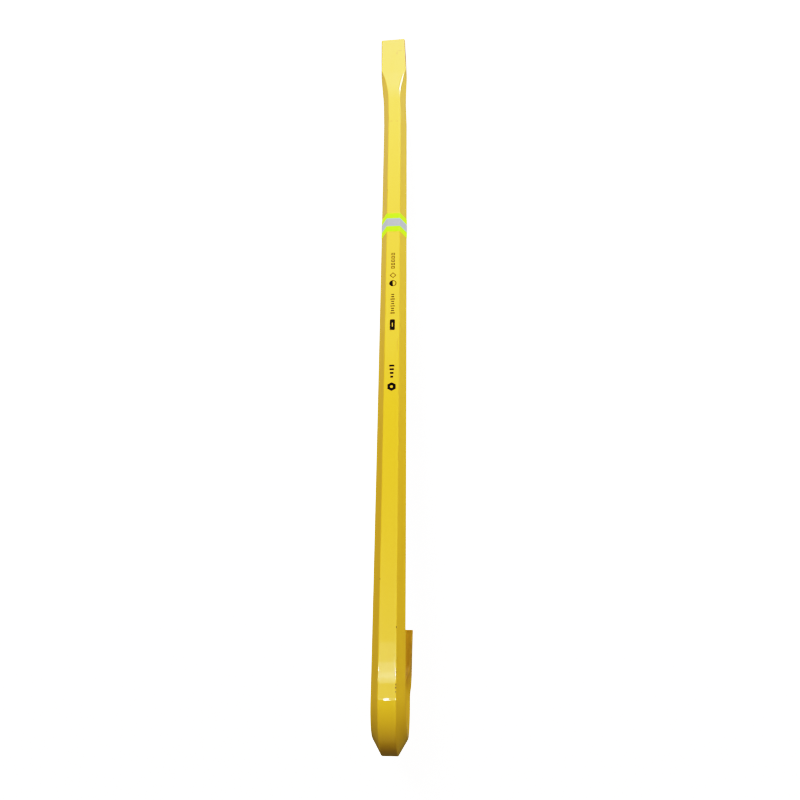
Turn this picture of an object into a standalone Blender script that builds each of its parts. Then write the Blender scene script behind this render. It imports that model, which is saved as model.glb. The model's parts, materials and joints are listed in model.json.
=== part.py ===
"""Tyre lever: one forged hexagonal bar with a chisel blade, a U-shaped hook and a hook blade.

Units are metres and +Z is up.  The lever is first laid out in its own frame, where X runs
across it, Y along the shank towards the chisel, and Z out of the shank's top flat, away from
the hook.  An empty then tilts that frame until the chisel edge and the hook both touch the floor.
"""
import math
from collections import namedtuple

import bmesh
import bpy
from mathutils import Matrix, Vector

COLLECTION_NAME = "tyre_lever"
SHARP_ANGLE = math.radians(24)

# Hexagonal stock
ACROSS_FLATS = 0.018
OVERALL_LENGTH = 0.600
HEX_CORNER_RADIUS = 0.0009
ARC_STEPS = 3
SHANK_SEGMENT = 0.060
# Rolled bar is never quite straight: half way along, the shank bows this far to +X.
SHANK_BOW = 0.00025

# Chisel blade, at the +Y end.  Distances are counted back from its edge.
CHISEL_LENGTH = 0.047
CHISEL_TRANSITION = 0.043
CHISEL_EDGE_WIDTH = 0.0231
CHISEL_EDGE_THICKNESS = 0.0028
CHISEL_SHOULDER_WIDTH = 0.0241
CHISEL_SHOULDER_THICKNESS = 0.0100
CHISEL_SKEW = math.radians(1.6)
CHISEL_SKEW_LENGTH = 0.112
TRANSITION_STEPS = 9
BLADE_STEPS = 3

# U bend and hook blade
BEND_RADIUS = 0.026
BEND_STEPS = 18
FLARE_START_ANGLE = math.radians(165)
HOOK_REACH = 0.0705
HOOK_EDGE_WIDTH = 0.0244
HOOK_EDGE_THICKNESS = 0.0032
HOOK_EDGE_DROP = 0.0040
HOOK_FLARE = 0.0008
HOOK_STEPS = 12
# How much of the way to the hook's edge each change of shape takes
FLARE_PART = 0.25
SQUARING_PART = 0.5
FLATTENING_CURVE = 0.3
# Hot bending widens the bar across the bend, and draws in the flat on the outside of it.
BEND_WIDENING = 0.042
BEND_OUTER_NARROWING = 0.066

# What is left of the bevelled side on the blades
BLADE_SIDE_BEVEL = 0.0008
BLADE_CORNER_RADIUS = 0.0004

# Reflective band round the shank
BAND_CENTRE = 0.3723
TAPE_WIDTH = 0.0176
TAPE_GAP = 0.0001
TAPE_THICKNESS = 0.0002
STRIP_WIDTH = 0.0078
STRIP_GAP = 0.00005
STRIP_THICKNESS = 0.00012

HALF_FLATS = ACROSS_FLATS / 2
HEX_HALF_WIDTH = ACROSS_FLATS / math.sqrt(3)
HEX_HALF_FLAT = HEX_HALF_WIDTH / 2
BEND_START = BEND_RADIUS + HALF_FLATS
BEND_LENGTH = math.pi * BEND_RADIUS
FLARE_START = FLARE_START_ANGLE * BEND_RADIUS
HOOK_PATH_LENGTH = BEND_LENGTH + HOOK_REACH - BEND_START
TRANSITION_START = OVERALL_LENGTH - CHISEL_LENGTH - CHISEL_TRANSITION
SKEW_START = OVERALL_LENGTH - CHISEL_SKEW_LENGTH

# Cross-section sizes: half the width over the side corners, half of the two flats' widths,
# half the depth between the flats, and the radius on the six corners.
Section = namedtuple("Section", "half_width outer_flat inner_flat half_depth corner")
HEX_SECTION = Section(HEX_HALF_WIDTH, HEX_HALF_FLAT, HEX_HALF_FLAT, HALF_FLATS, HEX_CORNER_RADIUS)

# Where a cross-section stands: its centre, and its sideways and outward directions.
Station = namedtuple("Station", "centre sideways outward section")


def clear_scene():
    for scene_object in list(bpy.data.objects):
        bpy.data.objects.remove(scene_object, do_unlink=True)


def mix(start, end, amount):
    return start + (end - start) * amount


def smooth_step(amount):
    amount = min(max(amount, 0.0), 1.0)
    return amount * amount * (3 - 2 * amount)


def hermite(amount, start, end, end_slope):
    """A cubic from start, where it is level, to end, where it has end_slope."""
    square = amount * amount
    cube = square * amount
    return start + (end - start) * (3 * square - 2 * cube) + end_slope * (cube - square)


def eased_ramp(amount, curved_part):
    """0 to 1: a parabola over curved_part of the way, then a straight line."""
    scale = 1 - curved_part / 2
    if amount < curved_part:
        return amount * amount / (2 * curved_part * scale)
    return (amount - curved_part / 2) / scale


def rounded_corner(before, corner, after, radius):
    """Points along the arc that rounds one corner of a counter-clockwise outline."""
    to_before = (before - corner).normalized()
    to_after = (after - corner).normalized()
    half_angle = to_before.angle(to_after) / 2
    arc_centre = corner + (to_before + to_after).normalized() * (radius / math.sin(half_angle))
    spoke = corner + to_before * (radius / math.tan(half_angle)) - arc_centre
    sweep = math.pi - 2 * half_angle
    points = []
    for step in range(ARC_STEPS + 1):
        turn = Matrix.Rotation(sweep * step / ARC_STEPS, 2)
        points.append(arc_centre + turn @ spoke)
    return points


def section_outline(section):
    """The six-sided outline of a cross-section, as (sideways, outward) vectors."""
    corners = [
        Vector((section.outer_flat, section.half_depth)),
        Vector((-section.outer_flat, section.half_depth)),
        Vector((-section.half_width, 0)),
        Vector((-section.inner_flat, -section.half_depth)),
        Vector((section.inner_flat, -section.half_depth)),
        Vector((section.half_width, 0)),
    ]
    outline = []
    for index, corner in enumerate(corners):
        after = corners[(index + 1) % len(corners)]
        outline += rounded_corner(corners[index - 1], corner, after, section.corner)
    return outline


def station_ring(station):
    """The outline of a station's cross-section as points in the lever's frame."""
    ring = []
    for point in section_outline(station.section):
        ring.append(station.centre + station.sideways * point.x + station.outward * point.y)
    return ring


def shank_station(along, section):
    """A station of the shank or chisel, which leans a little to -X beyond SKEW_START."""
    outward = Vector((0, 0, 1))
    if along <= SKEW_START:
        run = (along - BEND_START) / (SKEW_START - BEND_START)
        bow = SHANK_BOW * 4 * run * (1 - run)
        return Station(Vector((bow, along, 0)), Vector((1, 0, 0)), outward, section)
    past = (along - SKEW_START) / math.cos(CHISEL_SKEW)
    centre = Vector((-math.sin(CHISEL_SKEW) * past, along, 0))
    sideways = Vector((math.cos(CHISEL_SKEW), math.sin(CHISEL_SKEW), 0))
    return Station(centre, sideways, outward, section)


def blade_section(half_width, half_depth):
    flat = half_width - BLADE_SIDE_BEVEL
    return Section(half_width, flat, flat, half_depth, BLADE_CORNER_RADIUS)


def chisel_stations():
    """From the chisel edge back to the full hexagon."""
    shoulder = blade_section(CHISEL_SHOULDER_WIDTH / 2, CHISEL_SHOULDER_THICKNESS / 2)
    edge = blade_section(CHISEL_EDGE_WIDTH / 2, CHISEL_EDGE_THICKNESS / 2)
    stations = []
    for step in range(BLADE_STEPS):
        amount = step / BLADE_STEPS
        section = blade_section(
            mix(edge.half_width, shoulder.half_width, amount),
            mix(edge.half_depth, shoulder.half_depth, amount),
        )
        stations.append(shank_station(OVERALL_LENGTH - CHISEL_LENGTH * amount, section))
    blade_slope = (edge.half_depth - shoulder.half_depth) / CHISEL_LENGTH
    for step in range(TRANSITION_STEPS + 1):
        amount = 1 - step / TRANSITION_STEPS
        flat = mix(HEX_HALF_FLAT, shoulder.outer_flat, amount ** 2)
        section = Section(
            mix(HEX_HALF_WIDTH, shoulder.half_width, smooth_step(amount)),
            flat,
            flat,
            hermite(amount, HALF_FLATS, shoulder.half_depth, blade_slope * CHISEL_TRANSITION),
            mix(HEX_CORNER_RADIUS, BLADE_CORNER_RADIUS, amount),
        )
        stations.append(shank_station(TRANSITION_START + CHISEL_TRANSITION * amount, section))
    return stations


def shank_stations():
    """The full hexagon, from the chisel's transition to the start of the bend."""
    segments = math.ceil((SKEW_START - BEND_START) / SHANK_SEGMENT)
    stations = []
    for step in range(segments):
        along = mix(SKEW_START, BEND_START, step / segments)
        stations.append(shank_station(along, HEX_SECTION))
    return stations


def hook_station(distance, drop, section):
    """A station at a distance along the U bend and the leg beyond it."""
    angle = min(distance / BEND_RADIUS, math.pi)
    outward = Vector((0, -math.sin(angle), math.cos(angle)))
    bend_centre = Vector((0, BEND_START, -BEND_RADIUS))
    centre = bend_centre + outward * (BEND_RADIUS + drop)
    centre.y += max(distance - BEND_LENGTH, 0)
    return Station(centre, Vector((1, 0, 0)), outward, section)


def bend_widths(distance):
    """Half the width over the side corners, and half of the outer and inner flats."""
    strain = math.sin(math.pi * min(distance / BEND_LENGTH, 1))
    half_width = HEX_HALF_WIDTH * (1 + BEND_WIDENING * strain)
    outer_flat = HEX_HALF_FLAT * (1 - BEND_OUTER_NARROWING * strain)
    inner_flat = HEX_HALF_FLAT * (1 + BEND_WIDENING * strain)
    return half_width, outer_flat, inner_flat


def bend_stations():
    stations = []
    for step in range(BEND_STEPS):
        distance = BEND_LENGTH * step / BEND_STEPS
        if distance < FLARE_START:
            half_width, outer_flat, inner_flat = bend_widths(distance)
            section = Section(half_width, outer_flat, inner_flat, HALF_FLATS, HEX_CORNER_RADIUS)
            stations.append(hook_station(distance, 0, section))
    return stations


def hook_blade_stations():
    """The bar flattens from the last of the bend to the hook's edge."""
    stations = []
    for step in range(HOOK_STEPS + 1):
        amount = step / HOOK_STEPS
        distance = mix(FLARE_START, HOOK_PATH_LENGTH, amount)
        bar_half_width, outer_flat, inner_flat = bend_widths(distance)
        flattening = eased_ramp(amount, FLATTENING_CURVE)
        half_width = mix(bar_half_width, HOOK_EDGE_WIDTH / 2 - HOOK_FLARE, amount)
        half_width += HOOK_FLARE * smooth_step(amount / FLARE_PART)
        blade_flat = half_width - BLADE_SIDE_BEVEL
        squaring = smooth_step(amount / SQUARING_PART)
        section = Section(
            half_width,
            mix(outer_flat, blade_flat, squaring),
            mix(inner_flat, blade_flat, squaring),
            mix(HALF_FLATS, HOOK_EDGE_THICKNESS / 2, flattening),
            mix(HEX_CORNER_RADIUS, BLADE_CORNER_RADIUS, amount),
        )
        stations.append(hook_station(distance, HOOK_EDGE_DROP * flattening, section))
    return stations


def mesh_from_rings(name, rings, closed):
    """Skin a list of equal rings, either closed into a loop or with flat end caps."""
    shape = bmesh.new()
    loops = []
    for ring in rings:
        loops.append([shape.verts.new(point) for point in ring])
    joins = list(zip(loops, loops[1:]))
    if closed:
        joins.append((loops[-1], loops[0]))
    else:
        shape.faces.new(loops[0])
        shape.faces.new(loops[-1])
    for first, second in joins:
        for index in range(len(first)):
            following = (index + 1) % len(first)
            shape.faces.new((first[index], first[following], second[following], second[index]))
    bmesh.ops.recalc_face_normals(shape, faces=shape.faces)
    mesh = bpy.data.meshes.new(name)
    shape.to_mesh(mesh)
    shape.free()
    return mesh


def build_bar_rings():
    stations = chisel_stations() + shank_stations() + bend_stations() + hook_blade_stations()
    return [station_ring(station) for station in stations]


def lifted_hexagon(lift):
    """The bar's hexagon, moved outwards by the same distance everywhere."""
    half_depth = HALF_FLATS + lift
    half_width = half_depth * 2 / math.sqrt(3)
    half_flat = half_width / 2
    return Section(half_width, half_flat, half_flat, half_depth, HEX_CORNER_RADIUS + lift)


def build_band_rings(width, inner_lift, outer_lift):
    """A closed sleeve round the shank, between two distances from the bar's surface."""
    start = BAND_CENTRE - width / 2
    end = BAND_CENTRE + width / 2
    profile = [(outer_lift, start), (outer_lift, end), (inner_lift, end), (inner_lift, start)]
    return [station_ring(shank_station(along, lifted_hexagon(lift))) for lift, along in profile]


def make_material(name, colour, roughness, metallic):
    material = bpy.data.materials.new(name)
    material.use_nodes = True
    shader = material.node_tree.nodes["Principled BSDF"]
    shader.inputs["Base Color"].default_value = (*colour, 1)
    shader.inputs["Roughness"].default_value = roughness
    shader.inputs["Metallic"].default_value = metallic
    return material


def add_piece(mesh, material, collection, parent):
    piece = bpy.data.objects.new(mesh.name, mesh)
    collection.objects.link(piece)
    piece.parent = parent
    mesh.materials.append(material)
    mesh.shade_smooth()
    mesh.set_sharp_from_angle(angle=SHARP_ANGLE)


def floor_tilt(rings):
    """The angle that brings the chisel edge and the hook's lowest point to one level."""
    chisel_edge = min(rings[0], key=lambda point: point.z)
    steepest = 0
    for ring in rings:
        for point in ring:
            if point.z < -BEND_RADIUS:
                rise = chisel_edge.z - point.z
                steepest = max(steepest, math.atan2(rise, chisel_edge.y - point.y))
    return steepest


def seat_on_floor(rings, collection):
    """An empty that tilts the lever, and puts the centre of its footprint at the origin."""
    turn = Matrix.Rotation(-floor_tilt(rings), 4, "X")
    points = [turn @ point for ring in rings for point in ring]
    lowest = [min(point[axis] for point in points) for axis in range(3)]
    highest = [max(point[axis] for point in points) for axis in range(3)]
    middle_x = (lowest[0] + highest[0]) / 2
    middle_y = (lowest[1] + highest[1]) / 2
    frame = bpy.data.objects.new("lever_frame", None)
    collection.objects.link(frame)
    frame.rotation_euler = turn.to_euler()
    frame.location = (-middle_x, -middle_y, -lowest[2])
    return frame


def main():
    clear_scene()
    collection = bpy.data.collections.new(COLLECTION_NAME)
    bpy.context.scene.collection.children.link(collection)

    enamel = make_material("yellow_enamel", (0.84, 0.62, 0.045), 0.30, 0.0)
    lime = make_material("lime_tape", (0.62, 0.92, 0.04), 0.45, 0.0)
    silver = make_material("silver_tape", (0.55, 0.57, 0.58), 0.35, 0.0)

    bar_rings = build_bar_rings()
    frame = seat_on_floor(bar_rings, collection)
    bar = mesh_from_rings("lever_bar", bar_rings, closed=False)
    add_piece(bar, enamel, collection, frame)

    tape_top = TAPE_GAP + TAPE_THICKNESS
    tape_rings = build_band_rings(TAPE_WIDTH, TAPE_GAP, tape_top)
    tape = mesh_from_rings("fluorescent_tape", tape_rings, closed=True)
    add_piece(tape, lime, collection, frame)

    strip_base = tape_top + STRIP_GAP
    strip_rings = build_band_rings(STRIP_WIDTH, strip_base, strip_base + STRIP_THICKNESS)
    strip = mesh_from_rings("silver_strip", strip_rings, closed=True)
    add_piece(strip, silver, collection, frame)


main()
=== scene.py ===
"""Looks of the tyre lever: the enamelled bar, the reflective band, the printed marks, the studio.

Every piece is modelled in the lever's own frame, where X runs across it, Y along the shank
towards the chisel, and Z out of the shank's top flat, away from the hook.  Lengths are in metres.
"""
import json
import math
from collections import namedtuple

import bmesh
import bpy
from mathutils import Matrix, Vector

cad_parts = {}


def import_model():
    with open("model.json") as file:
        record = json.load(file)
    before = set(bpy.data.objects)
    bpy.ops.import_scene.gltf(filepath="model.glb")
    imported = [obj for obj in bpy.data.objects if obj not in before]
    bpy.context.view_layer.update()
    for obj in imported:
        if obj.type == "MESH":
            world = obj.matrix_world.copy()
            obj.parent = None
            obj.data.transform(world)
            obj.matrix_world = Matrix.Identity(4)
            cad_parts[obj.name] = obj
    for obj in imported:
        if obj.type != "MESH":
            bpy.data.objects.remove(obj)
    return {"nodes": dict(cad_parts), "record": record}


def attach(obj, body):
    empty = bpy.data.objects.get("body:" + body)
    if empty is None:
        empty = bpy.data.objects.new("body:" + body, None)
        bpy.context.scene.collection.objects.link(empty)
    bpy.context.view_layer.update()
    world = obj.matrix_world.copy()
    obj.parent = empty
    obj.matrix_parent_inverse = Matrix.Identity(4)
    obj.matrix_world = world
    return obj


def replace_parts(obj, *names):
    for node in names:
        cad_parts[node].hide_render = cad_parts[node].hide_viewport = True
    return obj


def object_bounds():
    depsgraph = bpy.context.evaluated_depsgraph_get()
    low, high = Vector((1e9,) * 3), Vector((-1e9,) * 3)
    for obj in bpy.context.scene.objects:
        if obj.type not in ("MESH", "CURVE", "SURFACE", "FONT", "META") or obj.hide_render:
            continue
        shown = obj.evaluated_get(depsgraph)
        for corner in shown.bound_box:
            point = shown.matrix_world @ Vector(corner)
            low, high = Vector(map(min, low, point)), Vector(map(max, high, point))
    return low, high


# Hexagonal stock
ACROSS_FLATS = 0.018
OVERALL_LENGTH = 0.600
HEX_CORNER_RADIUS = 0.0009
SHANK_BOW = 0.00025

# Chisel blade, at the +Y end.  Distances are counted back from its edge.
CHISEL_LENGTH = 0.047
CHISEL_TRANSITION = 0.043
CHISEL_EDGE_WIDTH = 0.0231
CHISEL_EDGE_THICKNESS = 0.0028
CHISEL_SHOULDER_WIDTH = 0.0241
CHISEL_SHOULDER_THICKNESS = 0.0100
CHISEL_SKEW = math.radians(1.6)
CHISEL_SKEW_LENGTH = 0.112

# U bend and hook blade
BEND_RADIUS = 0.026
FLARE_START_ANGLE = math.radians(165)
HOOK_REACH = 0.0705
HOOK_EDGE_WIDTH = 0.0244
HOOK_EDGE_THICKNESS = 0.0032
HOOK_EDGE_DROP = 0.0040
HOOK_FLARE = 0.0008
FLARE_PART = 0.25
SQUARING_PART = 0.5
FLATTENING_CURVE = 0.3
BEND_WIDENING = 0.042
BEND_OUTER_NARROWING = 0.066
BLADE_SIDE_BEVEL = 0.0008
BLADE_CORNER_RADIUS = 0.0004

# How finely the bar is meshed, how its ends are rounded, and over what length the deeper rim tone
# fades in on the blade's sides
ARC_STEPS = 6
FLAT_STEPS = 5
SHANK_STEP = 0.004
BLADE_STEP = 0.0015
BEND_STEP = 0.0011
END_RADIUS = 0.00032
END_STEPS = 4
RIM_FADE = 0.012

# Reflective band: lime film wrapped once round the shank, with a silver strip on it
FILM_GAP = 0.00003
FILM_THICKNESS = 0.00016
STRIP_THICKNESS = 0.00008
FILM_LAP = 0.0065
LAP_RAMP = 0.0012
FILM_SHARP_ANGLE = math.radians(35)

# Printed marks on the top flat
INK_THICKNESS = 0.000012
MARK_OFFSET = 0.0002
ROUND_STEPS = 40
BOX_CORNER_STEPS = 4

HALF_FLATS = ACROSS_FLATS / 2
HEX_HALF_WIDTH = ACROSS_FLATS / math.sqrt(3)
HEX_HALF_FLAT = HEX_HALF_WIDTH / 2
BEND_START = BEND_RADIUS + HALF_FLATS
BEND_LENGTH = math.pi * BEND_RADIUS
FLARE_START = FLARE_START_ANGLE * BEND_RADIUS
HOOK_PATH_LENGTH = BEND_LENGTH + HOOK_REACH - BEND_START
TRANSITION_START = OVERALL_LENGTH - CHISEL_LENGTH - CHISEL_TRANSITION
BLADE_START = OVERALL_LENGTH - CHISEL_LENGTH
SKEW_START = OVERALL_LENGTH - CHISEL_SKEW_LENGTH

# Camera, in the lever's frame
CAMERA_PLACE = Vector((0.03204, 0.06816, 0.36855))
CAMERA_FORWARD = Vector((-0.0654, 0.3837, -0.9211))
CAMERA_UP = Vector((0.0202, 0.9234, 0.3833))
CAMERA_LENS = 25.27
CAMERA_SENSOR = 36.0

Section = namedtuple("Section", "half_width outer_flat inner_flat half_depth corner")
HEX_SECTION = Section(HEX_HALF_WIDTH, HEX_HALF_FLAT, HEX_HALF_FLAT, HALF_FLATS, HEX_CORNER_RADIUS)
Station = namedtuple("Station", "centre sideways outward section")


# ---------------------------------------------------------------- frame

def lever_frame(frame):
    """The lever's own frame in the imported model, from the top flat's axis and the bar's extent.

    Its X zero is the middle of the U bend, which is symmetric.
    """
    mounts = {mount["name"]: mount for mount in frame["record"]["mounts"]}
    axis = mounts["shank_top_flat"]["axis"]
    turn = Matrix.Rotation(-math.atan2(axis[1], axis[2]), 3, "X")
    points = [turn.inverted() @ v.co for v in frame["nodes"]["lever_bar"].data.vertices]
    heel = min(point.y for point in points)
    bend = [point.x for point in points if point.y < heel + BEND_START - HALF_FLATS]
    crown = max(point.z for point in points)
    corner = Vector(((min(bend) + max(bend)) / 2, heel, crown - HALF_FLATS))
    return Matrix.Translation(turn @ corner) @ turn.to_4x4()


def extent_along(node, lever):
    """Where a CAD node starts and ends along the shank."""
    back = lever.inverted()
    places = [(back @ vertex.co).y for vertex in node.data.vertices]
    return min(places), max(places)


# ---------------------------------------------------------------- bar shape

def mix(start, end, amount):
    return start + (end - start) * amount


def smooth_step(amount):
    amount = min(max(amount, 0.0), 1.0)
    return amount * amount * (3 - 2 * amount)


def hermite(amount, start, end, end_slope):
    """A cubic from start, where it is level, to end, where it has end_slope."""
    square = amount * amount
    cube = square * amount
    return start + (end - start) * (3 * square - 2 * cube) + end_slope * (cube - square)


def eased_ramp(amount, curved_part):
    """0 to 1: a parabola over curved_part of the way, then a straight line."""
    scale = 1 - curved_part / 2
    if amount < curved_part:
        return amount * amount / (2 * curved_part * scale)
    return (amount - curved_part / 2) / scale


def spaced(start, end, step):
    """Evenly spaced values from start to end, both included, about a step apart."""
    count = max(1, round(abs(end - start) / step))
    return [mix(start, end, index / count) for index in range(count + 1)]


def rounded_corner(before, corner, after, radius):
    """(point, normal) pairs along the arc that rounds one corner of an outline."""
    to_before = (before - corner).normalized()
    to_after = (after - corner).normalized()
    half_angle = to_before.angle(to_after) / 2
    arc_centre = corner + (to_before + to_after).normalized() * (radius / math.sin(half_angle))
    spoke = corner + to_before * (radius / math.tan(half_angle)) - arc_centre
    sweep = math.pi - 2 * half_angle
    pairs = []
    for step in range(ARC_STEPS + 1):
        turned = Matrix.Rotation(sweep * step / ARC_STEPS, 2) @ spoke
        pairs.append((arc_centre + turned, turned.normalized()))
    return pairs


def section_outline(section):
    """The outline of a cross-section as (point, normal, crease) triples.

    crease is 1 on the rounded corners and 0 on the flats between them.
    """
    corners = [
        Vector((section.outer_flat, section.half_depth)),
        Vector((-section.outer_flat, section.half_depth)),
        Vector((-section.half_width, 0)),
        Vector((-section.inner_flat, -section.half_depth)),
        Vector((section.inner_flat, -section.half_depth)),
        Vector((section.half_width, 0)),
    ]
    arcs = []
    for index, corner in enumerate(corners):
        after = corners[(index + 1) % len(corners)]
        arcs.append(rounded_corner(corners[index - 1], corner, after, section.corner))
    outline = []
    for index, arc in enumerate(arcs):
        outline += [(point, normal, 1.0) for point, normal in arc]
        start, normal = arc[-1]
        end = arcs[(index + 1) % len(arcs)][0][0]
        for step in range(1, FLAT_STEPS):
            outline.append((mix(start, end, step / FLAT_STEPS), normal, 0.0))
    return outline


def bow_at(along):
    """How far the shank's middle line bows to +X."""
    run = (along - BEND_START) / (SKEW_START - BEND_START)
    return SHANK_BOW * 4 * run * (1 - run) if 0 < run < 1 else 0.0


def shank_station(along, section):
    """A station of the shank or chisel, which leans a little to -X beyond SKEW_START."""
    outward = Vector((0, 0, 1))
    if along <= SKEW_START:
        return Station(Vector((bow_at(along), along, 0)), Vector((1, 0, 0)), outward, section)
    past = (along - SKEW_START) / math.cos(CHISEL_SKEW)
    centre = Vector((-math.sin(CHISEL_SKEW) * past, along, 0))
    sideways = Vector((math.cos(CHISEL_SKEW), math.sin(CHISEL_SKEW), 0))
    return Station(centre, sideways, outward, section)


def blade_section(half_width, half_depth):
    flat = half_width - BLADE_SIDE_BEVEL
    return Section(half_width, flat, flat, half_depth, BLADE_CORNER_RADIUS)


def chisel_blade_section(along):
    amount = (OVERALL_LENGTH - along) / CHISEL_LENGTH
    half_width = mix(CHISEL_EDGE_WIDTH, CHISEL_SHOULDER_WIDTH, amount) / 2
    half_depth = mix(CHISEL_EDGE_THICKNESS, CHISEL_SHOULDER_THICKNESS, amount) / 2
    return blade_section(half_width, half_depth)


def chisel_transition_section(along):
    """From the full hexagon to the blade's shoulder."""
    amount = (along - TRANSITION_START) / CHISEL_TRANSITION
    shoulder = chisel_blade_section(BLADE_START)
    blade_slope = (CHISEL_EDGE_THICKNESS - CHISEL_SHOULDER_THICKNESS) / 2 / CHISEL_LENGTH
    end_slope = blade_slope * CHISEL_TRANSITION
    flat = mix(HEX_HALF_FLAT, shoulder.outer_flat, amount ** 2)
    return Section(
        mix(HEX_HALF_WIDTH, shoulder.half_width, smooth_step(amount)),
        flat,
        flat,
        hermite(amount, HALF_FLATS, shoulder.half_depth, end_slope),
        mix(HEX_CORNER_RADIUS, BLADE_CORNER_RADIUS, amount),
    )


def hook_station(distance, drop, section):
    """A station at a distance along the U bend and the leg beyond it."""
    angle = min(distance / BEND_RADIUS, math.pi)
    outward = Vector((0, -math.sin(angle), math.cos(angle)))
    bend_centre = Vector((0, BEND_START, -BEND_RADIUS))
    centre = bend_centre + outward * (BEND_RADIUS + drop)
    centre.y += max(distance - BEND_LENGTH, 0)
    return Station(centre, Vector((1, 0, 0)), outward, section)


def bend_widths(distance):
    """Half the width over the side corners, and half of the outer and inner flats."""
    strain = math.sin(math.pi * min(distance / BEND_LENGTH, 1))
    half_width = HEX_HALF_WIDTH * (1 + BEND_WIDENING * strain)
    outer_flat = HEX_HALF_FLAT * (1 - BEND_OUTER_NARROWING * strain)
    inner_flat = HEX_HALF_FLAT * (1 + BEND_WIDENING * strain)
    return half_width, outer_flat, inner_flat


def bend_station(distance):
    half_width, outer_flat, inner_flat = bend_widths(distance)
    section = Section(half_width, outer_flat, inner_flat, HALF_FLATS, HEX_CORNER_RADIUS)
    return hook_station(distance, 0, section)


def hook_blade_station(distance):
    """The bar flattens from the last of the bend to the hook's edge."""
    amount = (distance - FLARE_START) / (HOOK_PATH_LENGTH - FLARE_START)
    bar_half_width, outer_flat, inner_flat = bend_widths(distance)
    flattening = eased_ramp(amount, FLATTENING_CURVE)
    half_width = mix(bar_half_width, HOOK_EDGE_WIDTH / 2 - HOOK_FLARE, amount)
    half_width += HOOK_FLARE * smooth_step(amount / FLARE_PART)
    blade_flat = half_width - BLADE_SIDE_BEVEL
    squaring = smooth_step(amount / SQUARING_PART)
    section = Section(
        half_width,
        mix(outer_flat, blade_flat, squaring),
        mix(inner_flat, blade_flat, squaring),
        mix(HALF_FLATS, HOOK_EDGE_THICKNESS / 2, flattening),
        mix(HEX_CORNER_RADIUS, BLADE_CORNER_RADIUS, amount),
    )
    return hook_station(distance, HOOK_EDGE_DROP * flattening, section)


def bar_stations():
    """Every station of the bar, from the chisel's edge to the hook's edge."""
    stations = []
    for along in spaced(OVERALL_LENGTH - END_RADIUS, BLADE_START, BLADE_STEP):
        stations.append(shank_station(along, chisel_blade_section(along)))
    for along in spaced(BLADE_START, TRANSITION_START, BLADE_STEP)[1:]:
        stations.append(shank_station(along, chisel_transition_section(along)))
    for along in spaced(TRANSITION_START, SKEW_START, SHANK_STEP)[1:]:
        stations.append(shank_station(along, HEX_SECTION))
    for along in spaced(SKEW_START, BEND_START, SHANK_STEP)[1:-1]:
        stations.append(shank_station(along, HEX_SECTION))
    for distance in spaced(0, FLARE_START, BEND_STEP)[:-1]:
        stations.append(bend_station(distance))
    for distance in spaced(FLARE_START, HOOK_PATH_LENGTH - END_RADIUS, BEND_STEP):
        stations.append(hook_blade_station(distance))
    return stations


# ---------------------------------------------------------------- bar mesh

def surface_rings(stations):
    """For each station, its points, outward normals and crease values in the lever's frame."""
    rings = []
    for station in stations:
        ring = []
        for point, normal, crease in section_outline(station.section):
            place = station.centre + station.sideways * point.x + station.outward * point.y
            across = station.sideways * normal.x + station.outward * normal.y
            ring.append((place, across, crease))
        rings.append(ring)
    return rings


def level_normals(rings):
    """Turns each outward normal square to the surface's run along the bar."""
    levelled = []
    for index, ring in enumerate(rings):
        before = rings[max(index - 1, 0)]
        after = rings[min(index + 1, len(rings) - 1)]
        new_ring = []
        for spot, (place, across, crease) in enumerate(ring):
            run = (after[spot][0] - before[spot][0]).normalized()
            normal = (across - run * across.dot(run)).normalized()
            new_ring.append((place, normal, crease))
        levelled.append(new_ring)
    return levelled


def end_rings(ring, direction):
    """Rings that round a bar's end over, from the last full ring out to the flat end face."""
    rings = []
    for step in range(1, END_STEPS + 1):
        angle = math.pi / 2 * step / END_STEPS
        rounded = []
        for place, normal, crease in ring:
            inward = normal * (END_RADIUS * (1 - math.cos(angle)))
            new_place = place - inward + direction * (END_RADIUS * math.sin(angle))
            new_normal = normal * math.cos(angle) + direction * math.sin(angle)
            rounded.append((new_place, new_normal, 1.0))
        rings.append(rounded)
    return rings


def skin(name, rings, rims, lever):
    """A mesh over the rings with exact normals and flat ends.

    It carries each point's crease and rim values as attributes.
    """
    turn = lever.to_3x3()
    count = len(rings[0])
    vertices = [lever @ place for ring in rings for place, _, _ in ring]
    normals = [turn @ normal for ring in rings for _, normal, _ in ring]
    creases = [crease for ring in rings for _, _, crease in ring]
    rim_values = [rim for ring in rims for rim in ring]
    faces = []
    for row in range(len(rings) - 1):
        for spot in range(count):
            following = (spot + 1) % count
            first = row * count
            second = first + count
            faces.append((first + spot, first + following, second + following, second + spot))
    for ring, flipped in ((rings[0], False), (rings[-1], True)):
        start = len(vertices)
        cap = [start + spot for spot in range(count)]
        vertices += [lever @ place for place, _, _ in ring]
        normals += [turn @ normal for _, normal, _ in ring]
        creases += [1.0] * count
        rim_values += [1.0] * count
        faces.append(tuple(cap if flipped else reversed(cap)))
    mesh = bpy.data.meshes.new(name)
    mesh.from_pydata(vertices, [], faces)
    mesh.shade_smooth()
    mesh.normals_split_custom_set_from_vertices(normals)
    for attribute, values in (("crease", creases), ("rim", rim_values)):
        mesh.attributes.new(attribute, "FLOAT", "POINT").data.foreach_set("value", values)
    return mesh


def side_rim(place, normal):
    """1 on the chisel blade's narrow sides, 0 on its faces and on the rest of the bar."""
    on_blade = smooth_step((place.y - BLADE_START) / RIM_FADE)
    return on_blade * smooth_step(abs(normal.x) * 2)


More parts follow.
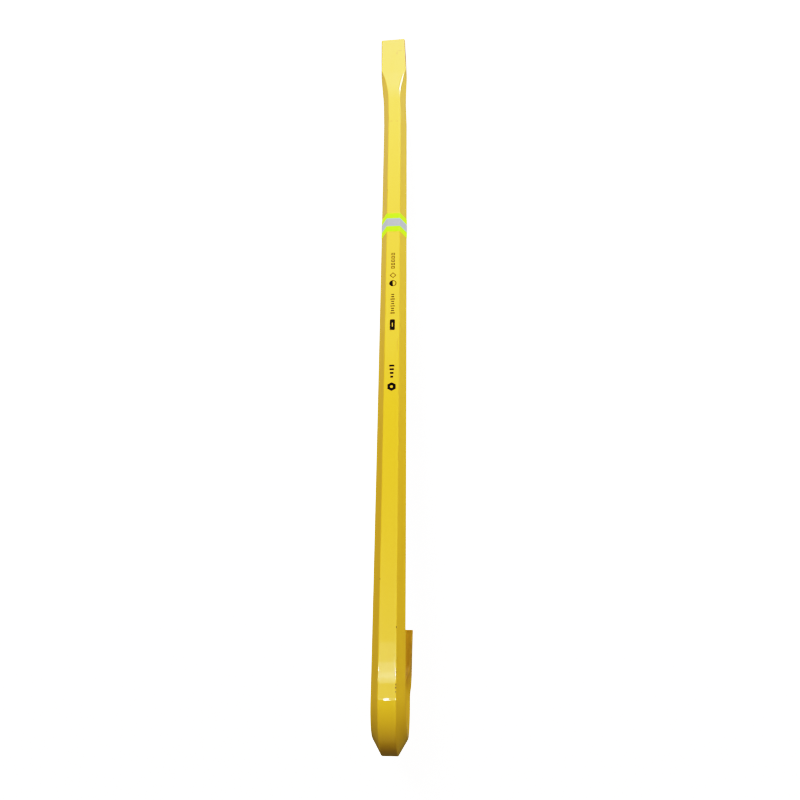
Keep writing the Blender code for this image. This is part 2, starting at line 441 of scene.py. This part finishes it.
def bar_mesh(lever):
    rings = level_normals(surface_rings(bar_stations()))
    chisel_way = Vector((-math.sin(CHISEL_SKEW), math.cos(CHISEL_SKEW), 0))
    hook_way = Vector((0, 1, 0))
    chisel_end = list(reversed(end_rings(rings[0], chisel_way)))
    hook_end = end_rings(rings[-1], hook_way)
    rims = [[1.0] * len(ring) for ring in chisel_end]
    rims += [[side_rim(place, normal) for place, normal, _ in ring] for ring in rings]
    rims += [[1.0] * len(ring) for ring in hook_end]
    return skin("enamelled_bar", chisel_end + rings + hook_end, rims, lever)


# ---------------------------------------------------------------- reflective band

def hexagon_path():
    """(point, normal, distance) round the shank, starting in the middle of its under flat."""
    outline = section_outline(HEX_SECTION)
    turns = range(len(outline))
    start = min(turns, key=lambda index: (outline[index][0] - Vector((0, -HALF_FLATS))).length)
    path = []
    distance = 0.0
    for index in range(len(outline) + 1):
        point, normal, _ = outline[(start + index) % len(outline)]
        if path:
            distance += (point - path[-1][0]).length
        path.append((point, normal, distance))
    return path


def wrapped_path():
    """The film's path once round the shank and on over its own start, as (point, normal, lift)."""
    path = hexagon_path()
    girth = path[-1][2]
    lap = [(point, normal, girth + reach) for point, normal, reach in path[1:] if reach <= FILM_LAP]
    wrapped = []
    for point, normal, distance in path + lap:
        rise = smooth_step((distance - girth + LAP_RAMP) / LAP_RAMP)
        wrapped.append((point, normal, rise))
    return wrapped


def film_mesh(name, start, end, gap, thickness, lap_lift):
    """A thin film wrapped round the shank between two places along it."""
    shape = bmesh.new()
    loops = []
    for point, normal, rise in wrapped_path():
        inner = gap + rise * lap_lift
        outer = inner + thickness
        loop = []
        for lift, along in ((inner, start), (inner, end), (outer, end), (outer, start)):
            flat = point + normal * lift
            loop.append(shape.verts.new((flat.x + bow_at(along), along, flat.y)))
        loops.append(loop)
    for first, second in zip(loops, loops[1:]):
        for index in range(4):
            following = (index + 1) % 4
            shape.faces.new((first[index], first[following], second[following], second[index]))
    shape.faces.new(loops[0])
    shape.faces.new(loops[-1])
    bmesh.ops.recalc_face_normals(shape, faces=shape.faces)
    mesh = bpy.data.meshes.new(name)
    shape.to_mesh(mesh)
    shape.free()
    mesh.shade_smooth()
    mesh.set_sharp_from_angle(angle=FILM_SHARP_ANGLE)
    return mesh


# ---------------------------------------------------------------- printed marks

def box_outline(middle, width, length, radius=0.0):
    """A rectangle with rounded corners, width across the bar and length along it."""
    if radius == 0:
        half = ((1, 1), (-1, 1), (-1, -1), (1, -1))
        return [middle + Vector((x * width / 2, y * length / 2)) for x, y in half]
    outline = []
    for corner, (x, y) in enumerate(((1, 1), (-1, 1), (-1, -1), (1, -1))):
        centre = middle + Vector((x * (width / 2 - radius), y * (length / 2 - radius)))
        for step in range(BOX_CORNER_STEPS + 1):
            angle = math.pi / 2 * (corner + step / BOX_CORNER_STEPS)
            outline.append(centre + Vector((math.cos(angle), math.sin(angle))) * radius)
    return outline


def polygon_outline(middle, radius, sides, turn=0.0, sweep=math.tau):
    """A regular polygon, or an arc of it when sweep is less than a full turn."""
    outline = []
    corners = sides if sweep == math.tau else sides + 1
    for corner in range(corners):
        angle = turn + sweep * corner / sides
        outline.append(middle + Vector((math.cos(angle), math.sin(angle))) * radius)
    return outline


def add_solid(shape, outline):
    """A thin ink plate of an outline."""
    low = HALF_FLATS
    high = HALF_FLATS + INK_THICKNESS
    base = [shape.verts.new((point.x, point.y, low)) for point in outline]
    top = [shape.verts.new((point.x, point.y, high)) for point in outline]
    shape.faces.new(base)
    shape.faces.new(top)
    for index in range(len(outline)):
        following = (index + 1) % len(outline)
        shape.faces.new((base[index], base[following], top[following], top[index]))


def add_ring(shape, outer, inner):
    """A thin ink ring between two outlines with the same number of points."""
    low = HALF_FLATS
    high = HALF_FLATS + INK_THICKNESS
    loops = []
    for outline, lift in ((outer, low), (outer, high), (inner, high), (inner, low)):
        loops.append([shape.verts.new((point.x, point.y, lift)) for point in outline])
    for first, second in zip(loops, loops[1:] + loops[:1]):
        for index in range(len(outer)):
            following = (index + 1) % len(outer)
            shape.faces.new((first[index], first[following], second[following], second[index]))


def square_row(shape, place):
    """Five small open squares in a row along the bar."""
    first = 0.3289
    pitch = 0.00312
    for index in range(5):
        middle = place(first + pitch * index)
        add_ring(shape, box_outline(middle, 0.0027, 0.0021), box_outline(middle, 0.0017, 0.0010))


def open_diamond(shape, place):
    middle = place(0.3217)
    add_ring(shape, polygon_outline(middle, 0.0026, 4), polygon_outline(middle, 0.0018, 4))


def half_disc(shape, place):
    """A ring with one half filled."""
    middle = place(0.3144)
    outer = polygon_outline(middle, 0.0027, ROUND_STEPS)
    inner = polygon_outline(middle, 0.0021, ROUND_STEPS)
    add_ring(shape, outer, inner)
    add_solid(shape, polygon_outline(middle, 0.0022, ROUND_STEPS // 2, math.pi / 2, math.pi))


def scale_ticks(shape, place):
    """A ruler-like row of ticks, every third one full width."""
    first = 0.2882
    pitch = 0.00202
    for index in range(9):
        width = 0.0033 if index % 3 == 0 else 0.0022
        add_solid(shape, box_outline(place(first + pitch * index), width, 0.0008))


def pierced_block(shape, place):
    """A solid block with a slot through it."""
    middle = place(0.2782)
    outer = box_outline(middle, 0.0037, 0.0090, 0.0007)
    inner = box_outline(middle, 0.0008, 0.0034, 0.0003)
    add_ring(shape, outer, inner)


def stepped_bars(shape, place):
    """Four short bars, each wider than the one before."""
    first = 0.2360
    pitch = 0.00290
    for index in range(4):
        width = 0.0021 + 0.0005 * index
        add_solid(shape, box_outline(place(first + pitch * index), width, 0.0014))


def pierced_hexagon(shape, place):
    """A hexagon like the bar's own section, with a round hole."""
    sides = 6
    steps = 6
    middle = place(0.2283)
    corners = polygon_outline(middle, 0.0033, sides, math.pi / 2)
    outer = []
    for index, corner in enumerate(corners):
        following = corners[(index + 1) % sides]
        outer += [mix(corner, following, step / steps) for step in range(steps)]
    add_ring(shape, outer, polygon_outline(middle, 0.0011, sides * steps, math.pi / 2))


def ink_mesh(name, draw):
    """One printed mark; draw gets a function that places it along the bar's middle line."""
    shape = bmesh.new()
    draw(shape, lambda along: Vector((bow_at(along) + MARK_OFFSET, along)))
    bmesh.ops.recalc_face_normals(shape, faces=shape.faces)
    mesh = bpy.data.meshes.new(name)
    shape.to_mesh(mesh)
    shape.free()
    return mesh


# ---------------------------------------------------------------- material tools

def new_material(name):
    material = bpy.data.materials.new(name)
    material.use_nodes = True
    tree = material.node_tree
    return material, tree, tree.nodes["Principled BSDF"]


def add_node(tree, kind, sockets=(), **settings):
    """A shader node with its settings, and its input sockets set or linked by name or number."""
    made = tree.nodes.new(kind)
    for name, setting in settings.items():
        setattr(made, name, setting)
    for socket, value in dict(sockets).items():
        if isinstance(value, bpy.types.NodeSocket):
            tree.links.new(value, made.inputs[socket])
        else:
            made.inputs[socket].default_value = value
    return made


def lever_position(tree, lever):
    """The shaded point in the lever's own frame."""
    point = add_node(tree, "ShaderNodeTexCoord").outputs["Object"]
    sockets = {"Vector": point, "Location": lever.translation, "Rotation": lever.to_euler()}
    return add_node(tree, "ShaderNodeMapping", sockets, vector_type="TEXTURE").outputs[0]


def noise(tree, where, scale, detail=2.0):
    sockets = {"Vector": where, "Scale": scale, "Detail": detail}
    return add_node(tree, "ShaderNodeTexNoise", sockets).outputs["Fac"]


def stretched(tree, where, factors):
    sockets = {0: where, 1: factors}
    return add_node(tree, "ShaderNodeVectorMath", sockets, operation="MULTIPLY").outputs[0]


def remap(tree, value, low, high, to_low=0.0, to_high=1.0):
    """value eased from to_low, where it is low, to to_high, where it is high."""
    sockets = {0: value, 1: low, 2: high, 3: to_low, 4: to_high}
    return add_node(tree, "ShaderNodeMapRange", sockets, interpolation_type="SMOOTHSTEP").outputs[0]


def maths(tree, operation, first, second):
    sockets = {0: first, 1: second}
    return add_node(tree, "ShaderNodeMath", sockets, operation=operation).outputs[0]


def blend_colour(tree, amount, first, second):
    sockets = {0: amount, 6: first, 7: second}
    return add_node(tree, "ShaderNodeMix", sockets, data_type="RGBA").outputs[2]


def bump(tree, height, distance, under=None):
    sockets = {"Height": height, "Distance": distance}
    if under is not None:
        sockets["Normal"] = under
    return add_node(tree, "ShaderNodeBump", sockets).outputs["Normal"]


# ---------------------------------------------------------------- enamel

# The coat's tones: most of it, its mottle, along the creases, the painted shade on the hook's leg
# in the shank's shadow, and at the ends and the blade's sides; then scuffed paint and bare steel
ENAMEL = (0.880, 0.644, 0.047, 1)
ENAMEL_DEEP = (0.840, 0.585, 0.037, 1)
ENAMEL_THIN = (0.890, 0.655, 0.060, 1)
# painted shade: the hook's leg lies in the shank's shadow, so its colour is darker and deeper
ENAMEL_HOOK_PAINTED_SHADE = (0.740, 0.480, 0.030, 1)
ENAMEL_RIM = (0.600, 0.340, 0.030, 1)
SCUFFED = (0.720, 0.440, 0.040, 1)
STEEL = (0.100, 0.060, 0.024, 1)

# How much of each tone shows where it is strongest
THIN_SHARE = 0.5
HOOK_PAINTED_SHADE_SHARE = 0.9
RIM_SHARE = 0.9
SCUFF_SHARE = 0.55

# Small spots on the bar: place along it, across it and out of it, then length and width
RIGHT = HEX_HALF_FLAT
LEFT = -HEX_HALF_FLAT
CHIPS = (
    (0.0716, RIGHT, HALF_FLATS, 0.0006, 0.0003),
    (0.0490, RIGHT, HALF_FLATS, 0.0004, 0.0003),
    (0.0474, RIGHT, HALF_FLATS, 0.0009, 0.0003),
    (0.0455, RIGHT, HALF_FLATS, 0.0004, 0.0003),
    (0.0410, RIGHT, HALF_FLATS, 0.0006, 0.0003),
    (0.0394, RIGHT, HALF_FLATS, 0.0007, 0.0004),
    (0.0372, RIGHT, HALF_FLATS, 0.0004, 0.0003),
    (0.0990, LEFT, HALF_FLATS, 0.0005, 0.0003),
    (0.4059, LEFT, HALF_FLATS, 0.0005, 0.0003),
)
SCUFFS = (
    (0.5815, 0.0035, 0.0028, 0.0010, 0.0032),
    (0.5780, 0.0010, 0.0031, 0.0030, 0.0012),
    (0.4833, -0.0031, 0.0090, 0.0009, 0.0014),
    (0.4829, 0.0022, 0.0090, 0.0009, 0.0014),
    (0.2612, 0.0040, 0.0090, 0.0070, 0.0005),
)


def spot_mask(tree, where, spots, raggedness):
    """1 inside the listed spots, with edges broken up by noise."""
    ragged = maths(tree, "MULTIPLY", noise(tree, where, 2600, 2.0), raggedness)
    mask = None
    for along, across, out, length, width in spots:
        sockets = {0: where, 1: Vector((across + bow_at(along), along, out))}
        apart = add_node(tree, "ShaderNodeVectorMath", sockets, operation="SUBTRACT").outputs[0]
        scaled = stretched(tree, apart, (1 / width, 1 / length, 1 / max(width, 0.001)))
        sockets = {0: scaled}
        away = add_node(tree, "ShaderNodeVectorMath", sockets, operation="LENGTH").outputs["Value"]
        spot = remap(tree, maths(tree, "ADD", away, ragged), 1.30, 1.10)
        mask = spot if mask is None else maths(tree, "MAXIMUM", mask, spot)
    return mask


def enamel_colour(tree, where, chips, rim):
    """Drifts and mottle of tone, painted shade on the hook's leg under the shank, deeper at the ends,
    scuffs, bare chips.
    """
    crease = add_node(tree, "ShaderNodeAttribute", attribute_name="crease").outputs["Fac"]
    drift = remap(tree, noise(tree, stretched(tree, where, (1, 0.3, 1)), 22, 3.0), 0.35, 0.70)
    mottle = remap(tree, noise(tree, where, 420, 3.0), 0.30, 0.75, 0.0, 0.35)
    deep = maths(tree, "MULTIPLY", drift, mottle)
    colour = blend_colour(tree, deep, ENAMEL, ENAMEL_DEEP)
    colour = blend_colour(tree, maths(tree, "MULTIPLY", crease, THIN_SHARE), colour, ENAMEL_THIN)
    _, along, out = add_node(tree, "ShaderNodeSeparateXYZ", {0: where}).outputs
    # painted shade: the hook's leg, in the shank's shadow, is blended towards a darker, deeper tone
    leg = maths(tree, "MULTIPLY", remap(tree, out, -0.030, -0.040), remap(tree, along, 0.030, 0.045))
    colour = blend_colour(tree, maths(tree, "MULTIPLY", leg, HOOK_PAINTED_SHADE_SHARE), colour, ENAMEL_HOOK_PAINTED_SHADE)
    colour = blend_colour(tree, maths(tree, "MULTIPLY", rim, RIM_SHARE), colour, ENAMEL_RIM)
    scuffs = maths(tree, "MULTIPLY", spot_mask(tree, where, SCUFFS, 0.8), SCUFF_SHARE)
    colour = blend_colour(tree, scuffs, colour, SCUFFED)
    return blend_colour(tree, chips, colour, STEEL)


def enamel_roughness(tree, where, chips):
    """Faint streaks of rougher paint along the bar, and dull bare chips."""
    streaks = remap(tree, noise(tree, stretched(tree, where, (1, 0.12, 1)), 260, 3.0), 0.35, 0.75)
    rough = maths(tree, "ADD", maths(tree, "MULTIPLY", streaks, 0.10), 0.30)
    return maths(tree, "MAXIMUM", rough, maths(tree, "MULTIPLY", chips, 0.6))


def enamel_material(lever):
    """Glossy sprayed enamel with a slight orange peel over forged steel."""
    material, tree, shader = new_material("yellow_enamel_coat")
    where = lever_position(tree, lever)
    chips = spot_mask(tree, where, CHIPS, 0.9)
    rim = add_node(tree, "ShaderNodeAttribute", attribute_name="rim").outputs["Fac"]
    tree.links.new(enamel_colour(tree, where, chips, rim), shader.inputs["Base Color"])
    tree.links.new(enamel_roughness(tree, where, chips), shader.inputs["Roughness"])
    swells = noise(tree, stretched(tree, where, (1, 0.5, 1)), 90, 2.0)
    peel = noise(tree, where, 650, 2.0)
    forged = bump(tree, peel, 0.000010, bump(tree, swells, 0.00010))
    chipped = bump(tree, maths(tree, "SUBTRACT", 1.0, chips), 0.00006, forged)
    tree.links.new(chipped, shader.inputs["Normal"])
    flowed = bump(tree, peel, 0.000002, bump(tree, swells, 0.000006))
    tree.links.new(flowed, shader.inputs["Coat Normal"])
    shader.inputs["Specular IOR Level"].default_value = 0.25
    tree.links.new(remap(tree, rim, 0.0, 1.0, 1.0, 0.2), shader.inputs["Coat Weight"])
    shader.inputs["Coat IOR"].default_value = 1.5
    haze = noise(tree, stretched(tree, where, (1, 0.10, 1)), 600, 3.0)
    tree.links.new(remap(tree, haze, 0.35, 0.75, 0.015, 0.035), shader.inputs["Coat Roughness"])
    return material


# ---------------------------------------------------------------- films and ink

# Each film's two base tones, and its painted glow: an emission that makes both films look brighter
# than painted white would, and equally bright on every face whatever the light
LIME = ((0.11, 0.20, 0.004, 1), (0.09, 0.17, 0.003, 1))
LIME_PAINTED_GLOW = (0.49, 0.89, 0.022, 1)
LIME_PAINTED_GLOW_STRENGTH = 1.58
SILVER = ((0.10, 0.11, 0.12, 1), (0.07, 0.08, 0.09, 1))
SILVER_PAINTED_GLOW = (0.47, 0.49, 0.52, 1)
SILVER_PAINTED_GLOW_STRENGTH = 1.41
INK = ((0.005, 0.004, 0.004, 1), (0.022, 0.015, 0.006, 1))


def lime_material(lever):
    """Fluorescent lime film over a fine woven backing, with an emission that paints its fluorescent
    brightness as light of its own.
    """
    material, tree, shader = new_material("fluorescent_lime_film")
    where = lever_position(tree, lever)
    tones = remap(tree, noise(tree, where, 500, 3.0), 0.3, 0.7)
    colour = blend_colour(tree, tones, *LIME)
    tree.links.new(colour, shader.inputs["Base Color"])
    sockets = {"Vector": where, "Scale": 1250.0}
    along = add_node(tree, "ShaderNodeTexWave", sockets, bands_direction="Y").outputs["Fac"]
    across = add_node(tree, "ShaderNodeTexWave", sockets, bands_direction="DIAGONAL").outputs["Fac"]
    weave = maths(tree, "MULTIPLY", along, across)
    tree.links.new(bump(tree, weave, 0.00002), shader.inputs["Normal"])
    shader.inputs["Roughness"].default_value = 0.42
    shader.inputs["Specular IOR Level"].default_value = 0.25
    # painted glow: the emission stands in for the film's fluorescent brightness on every face
    shader.inputs["Emission Color"].default_value = LIME_PAINTED_GLOW
    shader.inputs["Emission Strength"].default_value = LIME_PAINTED_GLOW_STRENGTH
    return material


def silver_material(lever):
    """Retroreflective silver film: tiny glass beads over a metallic backing, with an emission that
    paints the light the beads send back.
    """
    material, tree, shader = new_material("silver_bead_film")
    where = lever_position(tree, lever)
    sockets = {"Vector": where, "Scale": 2600.0}
    beads = add_node(tree, "ShaderNodeTexVoronoi", sockets).outputs["Distance"]
    sparkle = remap(tree, beads, 0.1, 0.6)
    colour = blend_colour(tree, sparkle, *SILVER)
    tree.links.new(colour, shader.inputs["Base Color"])
    tree.links.new(bump(tree, beads, 0.00003), shader.inputs["Normal"])
    shader.inputs["Metallic"].default_value = 0.25
    shader.inputs["Roughness"].default_value = 0.40
    shader.inputs["Specular IOR Level"].default_value = 0.25
    # painted glow: the emission stands in for the light the beads send back towards the viewer
    shader.inputs["Emission Color"].default_value = SILVER_PAINTED_GLOW
    shader.inputs["Emission Strength"].default_value = SILVER_PAINTED_GLOW_STRENGTH
    return material


def ink_material(lever):
    """Pad-printed black ink, slightly uneven in density."""
    material, tree, shader = new_material("black_print_ink")
    where = lever_position(tree, lever)
    density = remap(tree, noise(tree, where, 1800, 3.0), 0.35, 0.8)
    colour = blend_colour(tree, density, *INK)
    tree.links.new(colour, shader.inputs["Base Color"])
    tree.links.new(bump(tree, noise(tree, where, 900, 2.0), 0.000006), shader.inputs["Normal"])
    shader.inputs["Roughness"].default_value = 0.35
    shader.inputs["Specular IOR Level"].default_value = 0.12
    return material


# ---------------------------------------------------------------- pieces

def place_piece(mesh, material):
    piece = bpy.data.objects.new(mesh.name, mesh)
    bpy.context.scene.collection.objects.link(piece)
    mesh.materials.append(material)
    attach(piece, "root")
    return piece


def build_bar(lever):
    bar = place_piece(bar_mesh(lever), enamel_material(lever))
    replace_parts(bar, "lever_bar")


def build_band(frame, lever):
    start, end = extent_along(frame["nodes"]["fluorescent_tape"], lever)
    lap_lift = FILM_THICKNESS + STRIP_THICKNESS
    film = film_mesh("lime_film", start, end, FILM_GAP, FILM_THICKNESS, lap_lift)
    film.transform(lever)
    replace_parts(place_piece(film, lime_material(lever)), "fluorescent_tape")
    start, end = extent_along(frame["nodes"]["silver_strip"], lever)
    strip_gap = FILM_GAP + FILM_THICKNESS
    strip = film_mesh("silver_film", start, end, strip_gap, STRIP_THICKNESS, lap_lift)
    strip.transform(lever)
    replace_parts(place_piece(strip, silver_material(lever)), "silver_strip")


def build_marks(lever):
    ink = ink_material(lever)
    drawings = {
        "mark_square_row": square_row,
        "mark_diamond": open_diamond,
        "mark_half_disc": half_disc,
        "mark_scale": scale_ticks,
        "mark_block": pierced_block,
        "mark_bars": stepped_bars,
        "mark_hexagon": pierced_hexagon,
    }
    for name, draw in drawings.items():
        mesh = ink_mesh(name, draw)
        mesh.transform(lever)
        place_piece(mesh, ink)


# ---------------------------------------------------------------- studio

FLOOR_SIZE = 8.0
FLOOR_GAP = 0.0002
FLOOR_GLOW = 2.2
FLOOR_COLOURS = ((0.40, 0.40, 0.40, 1), (0.39, 0.39, 0.39, 1))

# The light that the view shows as pure white, and how steeply tones rise to it
BRIGHTEST = 2.6
TONE_POWER = 1.6
TONE_SHARES = (0.04, 0.08, 0.14, 0.22, 0.32, 0.44, 0.58, 0.74, 0.88)

# The dim surroundings all round, what is added to them behind the bend, and the backdrop
WARM_DIM = (1.00, 0.65, 0.40)
OLIVE_DIM = (0.90, 1.65, 0.60)
BACKDROP = (3.0, 3.0, 3.0, 1)


def floor_material():
    """A pale sheet that glows, so that it stays white around the object."""
    material, tree, shader = new_material("pale_floor")
    where = add_node(tree, "ShaderNodeTexCoord").outputs["Object"]
    grain = remap(tree, noise(tree, where, 3, 2.0), 0.2, 0.8)
    colour = blend_colour(tree, grain, *FLOOR_COLOURS)
    tree.links.new(colour, shader.inputs["Base Color"])
    shader.inputs["Roughness"].default_value = 0.9
    shader.inputs["Emission Color"].default_value = (1, 1, 1, 1)
    shader.inputs["Emission Strength"].default_value = FLOOR_GLOW
    return material


def build_floor(level):
    """The floor just under the lever; its glow doesn't light the lever or show in the gloss."""
    half = FLOOR_SIZE / 2
    mesh = bpy.data.meshes.new("floor")
    corners = [(-half, -half, 0), (half, -half, 0), (half, half, 0), (-half, half, 0)]
    mesh.from_pydata(corners, [], [(0, 1, 2, 3)])
    mesh.materials.append(floor_material())
    floor = bpy.data.objects.new("floor", mesh)
    bpy.context.scene.collection.objects.link(floor)
    floor.location = (0, 0, level - FLOOR_GAP)
    floor.visible_diffuse = False
    floor.visible_glossy = False


def softbox(name, lever, place, aim, up, size, power):
    """An area light with its place, aim and upright direction given in the lever's frame."""
    light = bpy.data.lights.new(name, "AREA")
    light.shape = "RECTANGLE"
    light.size, light.size_y = size
    light.energy = power
    holder = bpy.data.objects.new(name, light)
    bpy.context.scene.collection.objects.link(holder)
    back = (place - aim).normalized()
    right = up.cross(back).normalized()
    turn = Matrix((right, back.cross(right), back)).transposed().to_4x4()
    holder.matrix_world = lever @ Matrix.Translation(place) @ turn
    return holder


def build_boxes(lever):
    """Soft boxes that light the matt colour and stay out of the gloss.

    Each has its place, its size, its power and its colour.
    """
    boxes = {
        "key": (Vector((-0.420, 0.800, 1.330)), (0.3, 0.5), 29.2, (0.98, 1, 1)),
        "fill": (Vector((0.671, 0.459, 0.296)), (0.8, 0.3), 2.5, (1, 1, 1)),
        "low_left": (Vector((-0.300, 0.470, 0.164)), (0.4, 0.2), 0.16, (1, 0.50, 0.25)),
        "low_right": (Vector((0.800, 0.480, 0.0)), (0.6, 0.12), 5.9, (1, 1, 1)),
    }
    upright = Vector((0, 0, 1))
    middle = Vector((0, 0.30, 0))
    for name, (place, size, power, colour) in boxes.items():
        box = softbox(name, lever, place, middle, upright, size, power)
        box.data.color = colour
        box.visible_glossy = False


def build_lamps(lever):
    """Small bright lamps that only the gloss mirrors, over the bend and ahead of the chisel.

    Each has its place, its aim, its upright direction, its size and its brightness.
    """
    along = Vector((0, 1, 0))
    upright = Vector((0, 0, 1))
    bend = Vector((0, 0.045, 0))
    blade = Vector((0.008, 0.551, 0.006))
    lamps = {
        "lamp_slat": (Vector((-0.136, -0.046, 1.49)), bend, along, (0.060, 0.014), 3.0),
        "lamp_patch": (Vector((-0.133, -0.040, 1.50)), bend, along, (0.070, 0.056), 2.6),
        "lamp_panel": (Vector((-0.133, -0.012, 1.52)), bend, along, (0.080, 0.110), 1.6),
        "lamp_spot": (Vector((-0.135, -0.262, 1.50)), bend, along, (0.018, 0.110), 36.0),
        "lamp_tail": (Vector((-0.133, -0.260, 1.52)), bend, along, (0.055, 0.080), 4.0),
        "lamp_right": (Vector((0.850, -0.030, 1.25)), bend, along, (0.250, 0.066), 190.0),
        "lamp_left": (Vector((-0.850, -0.036, 1.25)), bend, along, (0.250, 0.050), 230.0),
        "lamp_low_right": (Vector((0.850, -0.250, 1.25)), bend, along, (0.120, 0.080), 120.0),
        "lamp_ahead": (Vector((0.560, 1.905, 0.640)), blade, upright, (0.220, 0.130), 300.0),
    }
    for name, (place, aim, up, size, brightness) in lamps.items():
        power = brightness * math.pi * size[0] * size[1]
        lamp = softbox(name, lever, place, aim, up, size, power)
        lamp.visible_diffuse = False


def build_world():
    """Dim warm surroundings, a pale window ahead for the gloss, and a white backdrop."""
    world = bpy.data.worlds.new("studio")
    bpy.context.scene.world = world
    world.use_nodes = True
    tree = world.node_tree
    background = tree.nodes["Background"]
    path = add_node(tree, "ShaderNodeLightPath")
    way = add_node(tree, "ShaderNodeTexCoord").outputs["Generated"]
    across, ahead, up = add_node(tree, "ShaderNodeSeparateXYZ", {0: way}).outputs
    dim = remap(tree, up, -0.4, 0.4, 0.22, 0.31)
    warm = add_node(tree, "ShaderNodeVectorMath", {0: WARM_DIM, "Scale": dim}, operation="SCALE")
    behind = remap(tree, ahead, 0.0, -0.6, 0.0, 0.05)
    olive = add_node(tree, "ShaderNodeVectorMath", {0: OLIVE_DIM, "Scale": behind}, operation="SCALE")
    window = mirrored_window(tree, across, ahead, up)
    mirrored = maths(tree, "MULTIPLY", window, path.outputs["Is Glossy Ray"])
    sockets = {0: warm.outputs[0], 1: olive.outputs[0]}
    around = add_node(tree, "ShaderNodeVectorMath", sockets, operation="ADD").outputs[0]
    sockets = {0: around, 1: mirrored}
    ambient = add_node(tree, "ShaderNodeVectorMath", sockets, operation="ADD").outputs[0]
    colour = blend_colour(tree, path.outputs["Is Camera Ray"], ambient, BACKDROP)
    tree.links.new(colour, background.inputs["Color"])


def mirrored_window(tree, across, ahead, up):
    """What the gloss mirrors: a window ahead, a glow overhead, and a dull room below."""
    near = remap(tree, ahead, 0.46, 0.58, 0.28, 1.80)
    far = remap(tree, ahead, 0.60, 0.85, 0.0, 0.95)
    glow = remap(tree, ahead, 0.46, -0.15, 0.0, 2.9)
    glow = maths(tree, "MULTIPLY", glow, remap(tree, ahead, -0.10, -0.05))
    window = maths(tree, "ADD", maths(tree, "ADD", near, far), glow)
    aside = maths(tree, "ABSOLUTE", maths(tree, "ADD", across, 0.07), 0.0)
    window = maths(tree, "MULTIPLY", window, remap(tree, aside, 0.15, 0.45, 1.0, 0.15))
    behind = remap(tree, ahead, -0.45, -0.10, 0.0, 0.15)
    room = maths(tree, "ADD", behind, remap(tree, ahead, 0.15, 0.65, 0.0, 0.36))
    room = maths(tree, "MULTIPLY", room, remap(tree, across, -0.3, 0.3, 1.0, 1.35))
    above = remap(tree, up, -0.15, 0.15)
    below = maths(tree, "SUBTRACT", 1.0, above)
    window = maths(tree, "MULTIPLY", window, above)
    return maths(tree, "ADD", window, maths(tree, "MULTIPLY", room, below))


def build_camera(lever):
    camera = bpy.data.cameras.new("camera")
    camera.lens = CAMERA_LENS
    camera.sensor_width = CAMERA_SENSOR
    holder = bpy.data.objects.new("camera", camera)
    bpy.context.scene.collection.objects.link(holder)
    back = -CAMERA_FORWARD.normalized()
    right = CAMERA_UP.cross(back).normalized()
    up = back.cross(right)
    turn = Matrix((right, up, back)).transposed().to_4x4()
    holder.matrix_world = lever @ Matrix.Translation(CAMERA_PLACE) @ turn
    bpy.context.scene.camera = holder


def tone(light):
    """A camera-like response: dark tones deepen a little, bright ones level off towards white."""
    top = 1 - math.exp(-BRIGHTEST ** TONE_POWER)
    return min(1.0, (1 - math.exp(-light ** TONE_POWER)) / top)


def set_view():
    """The plain sRGB view, with the camera-like response laid over it as a curve."""
    settings = bpy.context.scene.view_settings
    settings.view_transform = "Standard"
    settings.use_curve_mapping = True
    mapping = settings.curve_mapping
    mapping.white_level = (BRIGHTEST, BRIGHTEST, BRIGHTEST)
    curve = mapping.curves[3]
    for share in TONE_SHARES:
        curve.points.new(share, tone(share * BRIGHTEST))
    mapping.update()


def main():
    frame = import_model()
    cad_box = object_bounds()
    lever = lever_frame(frame)
    build_camera(lever)
    build_bar(lever)
    build_band(frame, lever)
    build_marks(lever)
    build_floor(cad_box[0].z)
    build_boxes(lever)
    build_lamps(lever)
    build_world()
    set_view()


main()
